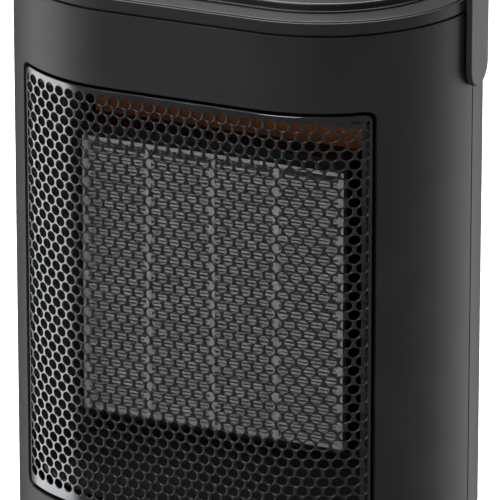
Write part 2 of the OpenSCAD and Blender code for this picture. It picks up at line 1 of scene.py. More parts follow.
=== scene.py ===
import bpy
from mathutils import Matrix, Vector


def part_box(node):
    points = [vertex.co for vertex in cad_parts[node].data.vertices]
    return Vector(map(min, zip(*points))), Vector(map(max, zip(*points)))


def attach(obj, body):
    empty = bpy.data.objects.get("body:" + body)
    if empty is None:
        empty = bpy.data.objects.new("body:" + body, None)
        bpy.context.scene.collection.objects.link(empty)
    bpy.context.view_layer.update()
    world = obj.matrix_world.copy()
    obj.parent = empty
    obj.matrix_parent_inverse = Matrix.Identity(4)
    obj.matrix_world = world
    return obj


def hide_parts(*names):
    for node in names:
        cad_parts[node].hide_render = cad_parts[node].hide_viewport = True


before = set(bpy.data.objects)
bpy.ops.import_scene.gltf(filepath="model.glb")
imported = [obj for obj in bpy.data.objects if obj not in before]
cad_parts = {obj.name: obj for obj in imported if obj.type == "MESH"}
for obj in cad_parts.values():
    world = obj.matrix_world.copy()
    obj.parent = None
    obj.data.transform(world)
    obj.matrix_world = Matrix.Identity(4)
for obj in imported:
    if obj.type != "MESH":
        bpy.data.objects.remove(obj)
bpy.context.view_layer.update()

import math
import random

import bpy
import numpy as np
from mathutils import Vector
from mathutils.geometry import delaunay_2d_cdt

# ---------------------------------------------------------------- sizes in millimetres

MM = 0.001


def cad(node):
    low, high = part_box(node)
    return np.array(low) / MM, np.array(high) / MM


FRONT, REAR, LID, PANEL = cad("front_shell"), cad("rear_shell"), cad("top_lid"), cad("control_panel")
GRILLE, HANDLE, FINS = cad("front_grille"), cad("handle"), cad("heating_fins")
SEAM_GAP = 0.1
SEAM_Y = FRONT[1][1] + SEAM_GAP
HALF_W = FRONT[1][0]
FRONT_R = SEAM_Y - FRONT[0][1]
BACK_R = REAR[1][1] - SEAM_Y
FRONT_FLAT = HALF_W - FRONT_R
BACK_FLAT = HALF_W - BACK_R
WALL = 2.4
SHELL_Z = FRONT[0][2], FRONT[1][2]
Z_AXIS = np.array([0.0, 0.0, 1.0])


# ---------------------------------------------------------------- mesh building


class Shape:
    """Points and faces in millimetres, with a normal for every corner of every face."""

    def __init__(self):
        self.points, self.faces, self.normals = [], [], []

    def add(self, points):
        first = len(self.points)
        self.points.extend(np.asarray(points, float).tolist())
        return list(range(first, len(self.points)))

    def face(self, corners, normals):
        self.faces.append(tuple(corners))
        self.normals.extend(normals)

    def strip(self, a, b, normals_a, normals_b):
        """Quads from one ring of points to the next."""
        for i in range(len(a)):
            j = (i + 1) % len(a)
            self.face((a[i], a[j], b[j], b[i]), (normals_a[i], normals_a[j], normals_b[j], normals_b[i]))

    def rings(self, rings, normals, first=None, closed=False):
        """Joins each ring to the next. Rings in the same place share points, which keeps that edge sharp."""
        ids = []
        for k, ring in enumerate(rings):
            if k == 0 and first is not None:
                ids.append(first)
            elif k and np.allclose(ring, rings[k - 1], atol=1e-6):
                ids.append(ids[-1])
            elif closed and k == len(rings) - 1 and np.allclose(ring, rings[0], atol=1e-6):
                ids.append(ids[0])
            else:
                ids.append(self.add(ring))
        normals = [np.asarray(n).tolist() for n in normals]
        for k in range(len(ids) - 1):
            if ids[k] is not ids[k + 1]:
                self.strip(ids[k], ids[k + 1], normals[k], normals[k + 1])
        if closed and ids[-1] is not ids[0]:
            self.strip(ids[-1], ids[0], normals[-1], normals[0])
        return ids

    def cap(self, ids, normal, reverse=False):
        self.face(ids[::-1] if reverse else ids, [tuple(normal)] * len(ids))


def soften(corners, closed=False, steps=4):
    """Rounds the corners (out, up, radius) of a profile that has the solid on its left.

    Gives rows of out, up and the two parts of the normal.
    """
    count = len(corners)
    rows = []
    for i, (x, z, radius) in enumerate(corners):
        here = np.array([x, z], float)
        before = np.array(corners[i - 1][:2], float) if closed or i else None
        after = np.array(corners[(i + 1) % count][:2], float) if closed or i < count - 1 else None
        d0 = None if before is None else (here - before) / np.linalg.norm(here - before)
        d1 = None if after is None else (after - here) / np.linalg.norm(after - here)
        d0 = d1 if d0 is None else d0
        d1 = d0 if d1 is None else d1
        n0, n1 = np.array([d0[1], -d0[0]]), np.array([d1[1], -d1[0]])
        cross = d0[0] * d1[1] - d0[1] * d1[0]
        turn = math.atan2(cross, float(d0 @ d1))
        if abs(turn) < 1e-6:
            rows.append((*here, *n0))
            continue
        if radius <= 0:
            rows += [(*here, *n0), (*here, *n1)]
            continue
        side = 1 if turn > 0 else -1
        start = here - d0 * radius * math.tan(abs(turn) / 2)
        centre = start - side * n0 * radius
        for j in range(steps + 1):
            a = turn * j / steps
            cos, sin = math.cos(a), math.sin(a)
            n = np.array([n0[0] * cos - n0[1] * sin, n0[0] * sin + n0[1] * cos])
            rows.append((*(centre + side * n * radius), *n))
    return rows


def outline(inset, steps=28):
    """Plan of the casing moved inwards, anticlockwise from above, with its outward normals."""
    points, normals = [], []
    arcs = [(BACK_FLAT, BACK_R, 0), (-BACK_FLAT, BACK_R, 90)]
    arcs += [(-FRONT_FLAT, FRONT_R, 180), (FRONT_FLAT, FRONT_R, 270)]
    for k, (x, radius, start) in enumerate(arcs):
        for i in range(steps + (k in (0, 2))):
            a = math.radians(start + 90 * (i + (k in (1, 3))) / steps)
            if k == 3 and i == steps - 1:
                continue
            points.append((x + (radius - inset) * math.cos(a), SEAM_Y + (radius - inset) * math.sin(a)))
            normals.append((math.cos(a), math.sin(a)))
    return np.array(points), np.array(normals)


def loft(profile, closed=False, cap=False):
    """Solid whose plan is the casing's, moved in or out as the profile says."""
    shape = Shape()
    rings, normals = [], []
    for out, up, n_out, n_up in profile:
        points, outward = outline(-out)
        rings.append(np.column_stack([points, np.full(len(points), up)]))
        normals.append(np.column_stack([outward * n_out, np.full(len(points), n_up)]))
    ids = shape.rings(rings, normals, closed=closed)
    if cap:
        shape.cap(ids[0], (0, 0, -1), reverse=True)
        shape.cap(ids[-1], (0, 0, 1))
    return shape


def lathe(shape, profile, centre, axis=(0, 0, 1), count=48, cap=True, closed=False):
    """Turned solid: the profile's out is the radius, and its up is the distance along the axis."""
    axis = np.array(axis, float)
    axis /= np.linalg.norm(axis)
    side = np.cross(axis, [0, 1, 0] if abs(axis[1]) < 0.9 else [1, 0, 0])
    side /= np.linalg.norm(side)
    other = np.cross(axis, side)
    angles = np.arange(count) * 2 * math.pi / count
    spokes = np.outer(np.cos(angles), side) + np.outer(np.sin(angles), other)
    rings = [np.array(centre) + spokes * out + axis * up for out, up, _, _ in profile]
    normals = [spokes * n_out + axis * n_up for _, _, n_out, n_up in profile]
    ids = shape.rings(rings, normals, closed=closed)
    if cap:
        shape.cap(ids[0], -axis, reverse=True)
        shape.cap(ids[-1], axis)


def fillet(radius, steps=3):
    """Start of a rim's chain: rows of offset, depth and the angle from the face's normal."""
    angles = [math.pi / 2 * i / steps for i in range(steps + 1)]
    return [(-radius * (1 - math.sin(a)), radius * (1 - math.cos(a)), a) for a in angles]


def through(radius, thick, back_radius=0.0, steps=3):
    """Chain of a plain edge that goes from the face through to the back."""
    chain = fillet(radius, steps)
    if back_radius:
        chain += [(o, thick - d, math.pi - a) for o, d, a in fillet(back_radius, steps)[::-1]]
    else:
        chain += [(0.0, thick, math.pi / 2), (0.0, thick, math.pi)]
    return chain


def rounded_rect(x0, x1, z0, z1, radius, step=3.0, arc=6):
    """Points round a rectangle, anticlockwise, and their outward normals. Sides are cut to about step."""
    points, normals = [], []
    corners = [(x1 - radius, z0 + radius, 270), (x1 - radius, z1 - radius, 0)]
    corners += [(x0 + radius, z1 - radius, 90), (x0 + radius, z0 + radius, 180)]
    for k, (x, z, start) in enumerate(corners):
        for i in range(arc + 1):
            a = math.radians(start + 90 * i / arc)
            n = np.array([math.cos(a), math.sin(a)])
            points.append(np.array([x, z]) + radius * n)
            normals.append(n)
        nx, nz, turn = corners[(k + 1) % 4]
        a = math.radians(turn)
        n = np.array([math.cos(a), math.sin(a)])
        end = np.array([nx, nz]) + radius * n
        cuts = int(np.linalg.norm(end - points[-1]) // step)
        first = points[-1]
        for i in range(1, cuts):
            points.append(first + (end - first) * i / cuts)
            normals.append(n)
    return np.array(points), np.array(normals)


def circle(x, z, radius, count):
    a = np.arange(count) * 2 * math.pi / count
    n = np.column_stack([np.cos(a), np.sin(a)])
    return np.array([x, z]) + radius * n, n


def edge(loop, chain):
    """Outside edge of a plate: the loop runs clockwise, and its normals point away from the solid."""
    points, normals = loop
    return {"points": points[::-1], "away": normals[::-1], "chain": chain, "back": None}


def hole(loop, chain, back=None):
    """Hole through a plate. With back, the chain ends in a floor and back is the wall round it."""
    points, normals = loop
    return {"points": points, "away": -normals, "chain": chain, "back": back}


def plate(shape, rims, grid, surface, thick):
    """Plate with holes that lies on a surface.

    rims[0] is its outside edge. The first row of each chain lies on the face.
    """
    starts = [rim["points"] + rim["away"] * rim["chain"][0][0] for rim in rims]
    flat = np.concatenate([*starts, grid]) if len(grid) else np.concatenate(starts)
    owner = np.full(len(flat), -1)
    spans, edges, at = [], [], 0
    for k, start in enumerate(starts):
        n = len(start)
        owner[at : at + n] = k
        spans.append((at, at + n))
        edges += [(at + i, at + (i + 1) % n) for i in range(n)]
        at += n
    made = delaunay_2d_cdt([Vector(p) for p in flat.tolist()], edges, [], 0, 1e-7)
    source = [o[0] for o in made[3]]
    faces = np.array([[source[i] for i in f] for f in made[2]])
    same = (owner[faces[:, 0]] == owner[faces[:, 1]]) & (owner[faces[:, 1]] == owner[faces[:, 2]])
    faces = faces[~(same & (owner[faces[:, 0]] > 0))]
    p = flat[faces]
    turn = np.cross(p[:, 1] - p[:, 0], p[:, 2] - p[:, 0])
    faces[turn < 0] = faces[turn < 0][:, ::-1]

    def row(rim, offset, depth, angle):
        uv = rim["points"] + rim["away"] * offset
        place, normal, along = surface(uv[:, 0], uv[:, 1], depth)
        away = rim["away"][:, :1] * along[0] + rim["away"][:, 1:] * along[1]
        return place, normal * math.cos(angle) + away * math.sin(angle)

    place, normal, _ = surface(flat[:, 0], flat[:, 1], 0.0)
    front = shape.add(place)
    facing = normal.tolist()
    back = []
    for k, rim in enumerate(rims):
        rows = [row(rim, *r) for r in rim["chain"]]
        first = front[spans[k][0] : spans[k][1]]
        ids = shape.rings([r[0] for r in rows], [r[1] for r in rows], first=first)
        if rim["back"]:
            _, inward, _ = surface(rim["points"][:, 0], rim["points"][:, 1], 0.0)
            shape.cap(ids[-1], inward[0])
            rows = [row(rim, *r) for r in rim["back"]]
            ids = shape.rings([r[0] for r in rows], [r[1] for r in rows])
            shape.cap(ids[0], -inward[0], reverse=True)
        back += ids[-1]
    if len(grid):
        back += shape.add(surface(flat[at:, 0], flat[at:, 1], thick)[0])
    behind = (-normal).tolist()
    for a, b, c in faces.tolist():
        shape.face((front[a], front[b], front[c]), (facing[a], facing[b], facing[c]))
        shape.face((back[c], back[b], back[a]), (behind[c], behind[b], behind[a]))
    return shape


def wrapped(flat, radius, sign):
    """Surface of the front (sign -1) or back (sign 1) half: u runs along the outline and v is the height."""

    def surface(u, v, depth):
        over = np.maximum(np.abs(u) - flat, 0) / radius
        side = np.sign(u)
        r = radius - depth
        x = -sign * side * (np.minimum(np.abs(u), flat) + r * np.sin(over))
        y = SEAM_Y + sign * r * np.cos(over)
        zero = np.zeros_like(u)
        normal = np.column_stack([-sign * side * np.sin(over), sign * np.cos(over), zero])
        along = np.column_stack([-sign * np.cos(over), -sign * side * np.sin(over), zero])
        return np.column_stack([x, y, v]), normal, (along, Z_AXIS)

    return surface


def flat_face(centre, across, up):
    across, up = np.array(across, float), np.array(up, float)
    out = np.cross(across, up)

    def surface(u, v, depth):
        place = np.array(centre) + np.outer(u, across) + np.outer(v, up) - out * depth
        return place, np.tile(out, (len(u), 1)), (across, up)

    return surface


NO_GRID = np.zeros((0, 2))


def grid_points(u0, u1, v0, v1, du, dv, boxes):
    """Even points inside a rectangle, apart from those in the boxes."""
    us = np.linspace(u0, u1, max(2, int((u1 - u0) / du)) + 1)[1:-1]
    vs = np.linspace(v0, v1, max(2, int((v1 - v0) / dv)) + 1)[1:-1]
    u, v = (a.ravel() for a in np.meshgrid(us, vs))
    keep = np.ones(len(u), bool)
    for a, b, c, d in boxes:
        keep &= ~((u > a) & (u < b) & (v > c) & (v < d))
    return np.column_stack([u[keep], v[keep]])


def build(name, shape, body, material, nodes=(), own_normals=True):
    """Makes a piece of the shape, rides it on its body and, where nodes are given, lets it stand for them."""
    mesh = bpy.data.meshes.new(name)
    mesh.from_pydata((np.array(shape.points) * MM).tolist(), [], shape.faces)
    mesh.polygons.foreach_set("use_smooth", [True] * len(mesh.polygons))
    if own_normals:
        mesh.normals_split_custom_set(shape.normals)
    else:
        mesh.set_sharp_from_angle(angle=math.radians(35))
    mesh.materials.append(material)
    piece = bpy.data.objects.new(name, mesh)
    bpy.context.scene.collection.objects.link(piece)
    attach(piece, body)
    if nodes:
        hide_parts(*nodes)


# ---------------------------------------------------------------- materials


RAMP_ENDS = 0.35, 0.65


def new_material(name):
    material = bpy.data.materials.new(name)
    material.use_nodes = True
    tree = material.node_tree
    return material, tree, tree.nodes["Principled BSDF"]


def noise(tree, scale, detail=2.0, roughness=0.5, stretch=None):
    coords = tree.nodes.new("ShaderNodeTexCoord")
    out = coords.outputs["Object"]
    if stretch:
        mapping = tree.nodes.new("ShaderNodeMapping")
        mapping.inputs["Scale"].default_value = stretch
        tree.links.new(out, mapping.inputs["Vector"])
        out = mapping.outputs["Vector"]
    texture = tree.nodes.new("ShaderNodeTexNoise")
    texture.inputs["Scale"].default_value = scale
    texture.inputs["Detail"].default_value = detail
    texture.inputs["Roughness"].default_value = roughness
    tree.links.new(out, texture.inputs["Vector"])
    return texture.outputs["Fac"]


def ramp(tree, source, low, high):
    """Colour or grey between low and high, over the middle of the source's range."""
    node = tree.nodes.new("ShaderNodeValToRGB")
    tree.links.new(source, node.inputs["Fac"])
    for element, place, value in zip(node.color_ramp.elements, RAMP_ENDS, (low, high)):
        element.position = place
        element.color = (*value, 1) if isinstance(value, tuple) else (value, value, value, 1)
    return node.outputs["Color"]


def bump(tree, shader, height, strength, distance):
    node = tree.nodes.new("ShaderNodeBump")
    node.inputs["Strength"].default_value = strength
    node.inputs["Distance"].default_value = distance
    tree.links.new(height, node.inputs["Height"])
    tree.links.new(node.outputs["Normal"], shader.inputs["Normal"])


def moulded(name, dark, light, rough, grain=2600.0, depth=0.35, specular=0.5, spread=0.05):
    """Moulded plastic: a fine spark-eroded grain, faint mottling and slightly uneven gloss."""
    material, tree, shader = new_material(name)
    fine = noise(tree, grain, 3.0, 0.6)
    broad = noise(tree, 60.0, 2.0)
    mixed = tree.nodes.new("ShaderNodeMix")
    mixed.data_type = "RGBA"
    mixed.blend_type = "MIX"
    mixed.inputs["Factor"].default_value = 0.35
    tree.links.new(ramp(tree, fine, dark, light), mixed.inputs["A"])
    tree.links.new(ramp(tree, broad, dark, light), mixed.inputs["B"])
    tree.links.new(mixed.outputs["Result"], shader.inputs["Base Color"])
    tree.links.new(ramp(tree, fine, rough - spread, rough + spread), shader.inputs["Roughness"])
    shader.inputs["Specular IOR Level"].default_value = specular
    bump(tree, shader, fine, depth, 0.00006)
    return material


def metal(name, dark, light, rough, scale=900.0, stretch=None, metallic=1.0, depth=0.15):
    """Metal or painted metal with fine brushing or paint texture."""
    material, tree, shader = new_material(name)
    fine = noise(tree, scale, 3.0, 0.6, stretch)
    tree.links.new(ramp(tree, fine, dark, light), shader.inputs["Base Color"])
    uneven = ramp(tree, noise(tree, 150.0, 3.0), rough - 0.06, rough + 0.06)
    tree.links.new(uneven, shader.inputs["Roughness"])
    shader.inputs["Metallic"].default_value = metallic
    bump(tree, shader, fine, depth, 0.00004)
    return material


def grey(value, tint=(1.0, 1.0, 1.0)):
    return tuple(value * t for t in tint)


COOL = (0.97, 1.0, 1.03)
CASING = moulded("casing_plastic", grey(0.0085, COOL), grey(0.0145, COOL), 0.50, specular=0.42, depth=0.5)
CASING_BACK = moulded("casing_back_plastic", grey(0.009, COOL), grey(0.015, COOL), 0.50)
LID_PLASTIC = moulded("lid_plastic", grey(0.010, COOL), grey(0.017, COOL), 0.44, specular=0.36)
PANEL_PLASTIC = moulded("panel_plastic", grey(0.010, COOL), grey(0.016, COOL), 0.42)
HANDLE_PLASTIC = moulded("handle_plastic", grey(0.012, COOL), grey(0.020, COOL), 0.50)
KNOB_PLASTIC = moulded("knob_plastic", grey(0.010, COOL), grey(0.017, COOL), 0.38)
BASE_PLASTIC = moulded("base_plastic", grey(0.008), grey(0.014), 0.55, grain=1800.0)
RUBBER = moulded("foot_rubber", grey(0.006), grey(0.013), 0.8, grain=1500.0, depth=0.5, specular=0.25)
BUSH_PLASTIC = moulded("bush_plastic", grey(0.22), grey(0.30), 0.4)
WHITE_PLASTIC = moulded("white_plastic", grey(0.60), grey(0.72), 0.4)
MARK_WHITE = moulded("dial_print", grey(0.50), grey(0.62), 0.55, grain=3500.0, depth=0.15)
SWITCH_PLASTIC = moulded("switch_plastic", (0.012, 0.016, 0.024), (0.020, 0.026, 0.036), 0.4)
DUCT_PLASTIC = moulded("duct_plastic", grey(0.028), grey(0.045), 0.6, grain=1400.0, depth=0.5)
FAN_PLASTIC = moulded("fan_plastic", grey(0.010), grey(0.018), 0.45)
CERAMIC = moulded("ceramic", (0.62, 0.58, 0.50), (0.74, 0.70, 0.62), 0.7, grain=1600.0)
WIRE_RED = moulded("wire_sleeve", (0.30, 0.012, 0.010), (0.42, 0.020, 0.014), 0.45, grain=3000.0)
CARRIER = moulded("carrier_board", (0.17, 0.042, 0.004), (0.28, 0.080, 0.008), 0.7, grain=700.0, depth=0.5)
GRILLE_METAL = metal("grille_metal", grey(0.125, COOL), grey(0.18, COOL), 0.19, 2200.0, depth=0.1)
DARK_STEEL = metal("dark_steel", grey(0.022), grey(0.045), 0.45)
STEEL = metal("steel", grey(0.42), grey(0.60), 0.32)
BRASS = metal("brass", (0.55, 0.36, 0.12), (0.72, 0.50, 0.20), 0.3)
MOTOR_METAL = metal("motor_metal", grey(0.30), grey(0.45), 0.4)
BAR_ALUMINIUM = metal(
    "bar_aluminium", grey(0.46), grey(0.60), 0.46, 700.0, (1.0, 1.0, 0.12), metallic=0.7, depth=0.3
)
FIN_ALUMINIUM = metal(
    "fin_aluminium", grey(0.50), grey(0.68), 0.5, 500.0, (0.2, 1.0, 1.0), metallic=0.8, depth=0.2
)

lens_material, lens_tree, lens_shader = new_material("amber_lens")
lens_cloud = noise(lens_tree, 900.0, 2.0)
lens_colour = ramp(lens_tree, lens_cloud, (0.72, 0.28, 0.03), (0.90, 0.42, 0.07))
lens_tree.links.new(lens_colour, lens_shader.inputs["Base Color"])
lens_tree.links.new(ramp(lens_tree, noise(lens_tree, 400.0), 0.10, 0.18), lens_shader.inputs["Roughness"])
lens_shader.inputs["Subsurface Weight"].default_value = 0.2
lens_shader.inputs["Subsurface Scale"].default_value = 0.002
bump(lens_tree, lens_shader, lens_cloud, 0.1, 0.00003)

# ---------------------------------------------------------------- shells

FRONT_HALF_U = FRONT_FLAT + FRONT_R * math.pi / 2 - SEAM_GAP
BACK_HALF_U = BACK_FLAT + BACK_R * math.pi / 2 - SEAM_GAP
EDGE_R = 0.5
GROOVE = 0.8
GRID_U, GRID_V = 3.0, 8.0


def along_front(x):
    """Distance along the front's outline of a place straight behind x."""
    over = np.arcsin(np.clip((np.abs(x) - FRONT_FLAT) / FRONT_R, 0, 1)) * FRONT_R
    return np.sign(x) * (np.minimum(np.abs(x), FRONT_FLAT) + over)


def shell_edge(half_u):
    loop = rounded_rect(-half_u, half_u, SHELL_Z[0], SHELL_Z[1], 0.6, 3.0, 3)
    return edge(loop, through(EDGE_R, WALL))


OPENING_SLACK = 0.35
opening_x = GRILLE[1][0] + GROOVE + OPENING_SLACK
opening_z = GRILLE[0][2] - GROOVE - OPENING_SLACK, GRILLE[1][2] + GROOVE + OPENING_SLACK
points, normals = rounded_rect(-opening_x, opening_x, *opening_z, 3.3, 2.5, 8)
points[:, 0] = along_front(points[:, 0])
opening = hole((points, normals), through(0.45, WALL))
opening_u = float(along_front(np.array(opening_x))) + 1.5
opening_box = (-opening_u, opening_u, opening_z[0] - 2, opening_z[1] + 2)
front_grid = grid_points(-FRONT_HALF_U, FRONT_HALF_U, *SHELL_Z, GRID_U, GRID_V, [opening_box])
front_rims = [shell_edge(FRONT_HALF_U), opening]
front_shape = plate(Shape(), front_rims, front_grid, wrapped(FRONT_FLAT, FRONT_R, -1), WALL)
build("front_casing", front_shape, "casing", CASING, ["front_shell"])

SLOTS, SLOT_PITCH, SLOT_H, SLOT_X = 15, 6.0, 3.0, (2.0, 36.0)
FAN_Z = (cad("fan_impeller")[0][2] + cad("fan_impeller")[1][2]) / 2
rims, boxes = [shell_edge(BACK_HALF_U)], []
for i in range(SLOTS):
    z = FAN_Z + (i - (SLOTS - 1) / 2) * SLOT_PITCH
    for x0, x1 in (SLOT_X, (-SLOT_X[1], -SLOT_X[0])):
        slot = rounded_rect(x0, x1, z - SLOT_H / 2, z + SLOT_H / 2, 1.2, 4.0, 4)
        rims.append(hole(slot, through(0.4, WALL)))
slots_half = SLOTS * SLOT_PITCH / 2
boxes.append((-SLOT_X[1] - 2, SLOT_X[1] + 2, FAN_Z - slots_half - 1, FAN_Z + slots_half + 1))
screws = cad("shell_screws")
SCREW_X, SCREW_HEAD_R = 30.0, 3.6
RECESS_R, RECESS_FLOOR, RECESS_END, TUBE_WALL = 4.0, REAR[1][1] - 20.0, 1.4, 1.5
RECESS_ROOM, ROUND_SIDES = RECESS_R + 2, 32
bore = fillet(0.5) + [(0.0, RECESS_FLOOR, math.pi / 2)]
tube_end = RECESS_FLOOR + RECESS_END
tube = [(-TUBE_WALL, tube_end, math.pi), (-TUBE_WALL, tube_end, math.pi / 2)]
tube += [(-TUBE_WALL, WALL, math.pi / 2), (-TUBE_WALL, WALL, math.pi)]
for x in (-SCREW_X, SCREW_X):
    for z in (screws[0][2] + SCREW_HEAD_R, screws[1][2] - SCREW_HEAD_R):
        rims.append(hole(circle(x, z, RECESS_R, ROUND_SIDES), bore, tube))
        boxes.append((x - RECESS_ROOM, x + RECESS_ROOM, z - RECESS_ROOM, z + RECESS_ROOM))
GLAND_TURN, GLAND_Z, GLAND_R = math.radians(25), 26.0, 6.5
gland_u = BACK_FLAT + BACK_R * GLAND_TURN
gland_room = GLAND_R + 1.5
rims.append(hole(circle(gland_u, GLAND_Z, GLAND_R, ROUND_SIDES), through(0.3, WALL)))
boxes.append((gland_u - gland_room, gland_u + gland_room, GLAND_Z - gland_room, GLAND_Z + gland_room))
back_grid = grid_points(-BACK_HALF_U, BACK_HALF_U, *SHELL_Z, GRID_U, GRID_V, boxes)
rear_shape = plate(Shape(), rims, back_grid, wrapped(BACK_FLAT, BACK_R, 1), WALL)
build("rear_casing", rear_shape, "casing", CASING_BACK, ["rear_shell"])

# ---------------------------------------------------------------- lid and control panel

lid_z0, lid_z1 = SHELL_Z[1] + 0.7, LID[1][2]
lip_z = LID[0][2]
lid_profile = soften(
    [
        (0, lid_z0, 0.35),
        (0, lid_z1 - 0.6, 0.35),
        (-0.6, lid_z1 - 0.6, 0.15),
        (-0.6, lid_z1, 0.4),
        (-12, lid_z1, 0),
        (-12, lid_z1 - WALL, 0),
        (-4.2, lid_z1 - WALL, 0),
        (-4.2, lip_z, 0),
        (-2.6, lip_z, 0),
        (-2.6, SHELL_Z[1], 0),
        (-1.4, SHELL_Z[1], 0),
        (-1.4, lid_z0, 0),
    ],
    closed=True,
)
build("lid", loft(lid_profile, closed=True), "casing", LID_PLASTIC, ["top_lid"])

panel_z = PANEL[1][2]
panel_in = HALF_W - PANEL[1][0]
panel_profile = soften(
    [
        (-panel_in, lid_z1, 0),
        (-panel_in, lid_z1 + 0.8, 0.3),
        (-panel_in - 0.8, lid_z1 + 0.8, 0.15),
        (-panel_in - 0.8, panel_z, 0.8),
        (-panel_in - 4, panel_z, 0),
    ]
)
build("control_island", loft(panel_profile, cap=True), "casing", PANEL_PLASTIC, ["control_panel"])

# ---------------------------------------------------------------- grille

SHEET, FLANGE = 0.8, 4.0
HOLE_R, HOLE_RIM, HOLE_SIDES = 1.925, 0.2, 16
COLUMN_PITCH, ROW_PITCH, COLUMNS = 2.413, 3.642, 59
TOP_MARGIN, LOW_MARGIN, SIDE_MARGIN = 5.05, 3.2, 1.15
TOP_ROW = GRILLE[1][2] + GROOVE - TOP_MARGIN
ROWS = int((TOP_ROW - GRILLE[0][2] - LOW_MARGIN) / ROW_PITCH) + 1
grille_r = SEAM_Y - GRILLE[0][1]
grille_x, grille_z = GRILLE[1][0], (GRILLE[0][2], GRILLE[1][2])


def grille_surface(x, z, depth):
    """The grille's outside. x is the place across, so rows of holes keep an even pitch from the front."""
    lean = np.clip((np.abs(x) - FRONT_FLAT) / grille_r, 0, 1)
    side, level = np.sign(x), np.sqrt(1 - lean**2)
    r = grille_r - depth
    zero = np.zeros_like(x)
    place = np.column_stack([side * (np.minimum(np.abs(x), FRONT_FLAT) + r * lean), SEAM_Y - r * level, z])
    normal = np.column_stack([side * lean, -level, zero])
    along = np.column_stack([level, side * lean, zero])
    return place, normal, (along, Z_AXIS)


rim_loop = rounded_rect(-grille_x, grille_x, *grille_z, 2.5, 2.5, 6)
rim_chain = fillet(0.8, 4) + [(0.0, FLANGE, math.pi / 2), (0.0, FLANGE, math.pi), (-SHEET, FLANGE, math.pi)]
rim_chain += [(-SHEET, FLANGE, math.pi * 1.5), (-SHEET, SHEET, math.pi * 1.5), (-SHEET, SHEET, math.pi)]
rims = [edge(rim_loop, rim_chain)]
hole_chain = fillet(HOLE_RIM, 2) + [(0.0, SHEET, math.pi / 2), (0.0, SHEET, math.pi)]
border = grille_x - SIDE_MARGIN
for row_number in range(ROWS):
    z = TOP_ROW - row_number * ROW_PITCH
    for column in range(row_number % 2, COLUMNS, 2):
        x = (column - (COLUMNS - 1) / 2) * COLUMN_PITCH
        points, normals = circle(x, z, HOLE_R, HOLE_SIDES)
        cut = np.abs(points[:, 0]) > border
        if cut.any():
            points[cut, 0] = border * np.sign(x)
            normals[cut] = (np.sign(x), 0.0)
        rims.append(hole((points, normals), hole_chain))
grille_shape = plate(Shape(), rims, NO_GRID, grille_surface, SHEET)
build("grille_panel", grille_shape, "casing", GRILLE_METAL, ["front_grille"])

# ---------------------------------------------------------------- handle

STRAP_T, STRAP_BEND = 2.4, 40.0
strap_half = (HANDLE[1][1] - HANDLE[0][1]) / 2
strap_x, strap_top = HANDLE[1][0], HANDLE[1][2]
pivot_z = HANDLE[0][2] + strap_half
rise = strap_top - STRAP_BEND - pivot_z
bend = STRAP_BEND * math.pi / 2
span = 2 * (strap_x - STRAP_BEND)
strap_len = 2 * rise + 2 * bend + span


def strap_surface(u, v, depth):
    """The strap's outside: u runs from the left pivot over the top to the right one, v towards the back."""
    u = np.asarray(u, float)
    turn = np.clip((u - rise) / bend, 0, 1) + np.clip((u - rise - bend - span) / bend, 0, 1)
    a = math.pi * (1 - turn / 2)
    across = np.clip(u - rise - bend, 0, span) - span / 2
    r = STRAP_BEND - depth
    x = across + r * np.cos(a)
    left, right = np.maximum(rise - u, 0), np.maximum(u - rise - 2 * bend - span, 0)
    z = strap_top - STRAP_BEND + r * np.sin(a) - left - right
    zero = np.zeros_like(u)
    normal = np.column_stack([np.cos(a), zero, np.sin(a)])
    along = np.column_stack([np.sin(a), zero, -np.cos(a)])
    return np.column_stack([x, SEAM_Y + v, z]), normal, (along, np.array([0.0, 1.0, 0.0]))


strap_ends = -strap_half, strap_len + strap_half
strap_loop = rounded_rect(*strap_ends, -strap_half, strap_half, strap_half - 0.01, 2.5, 12)
strap_edge = edge(strap_loop, through(0.6, STRAP_T, 0.5))
handle_shape = plate(Shape(), [strap_edge], NO_GRID, strap_surface, STRAP_T)
STUB_R, STUB_REACH = 4.0, 8.0
stub_in = HALF_W - STUB_REACH
for side in (-1, 1):
    stub = soften([(STUB_R - 0.4, 0, 0), (STUB_R, 0.4, 0), (STUB_R, strap_x - STRAP_T - stub_in + 0.2, 0)])
    lathe(handle_shape, stub, (side * stub_in, SEAM_Y, pivot_z), (side, 0, 0), ROUND_SIDES)
build("carry_strap", handle_shape, "carry_handle", HANDLE_PLASTIC, ["handle"])

# ---------------------------------------------------------------- knobs, dial marks and lamp


PRINT_T = 0.3
MARK_GAP, LONG_MARK, SHORT_MARK = 1.2, 2.2, 1.2
FLUTE_SIDES, FLUTES, FLUTE_DEPTH = 192, 24, 0.55
RIDGE_HALF = 3.5


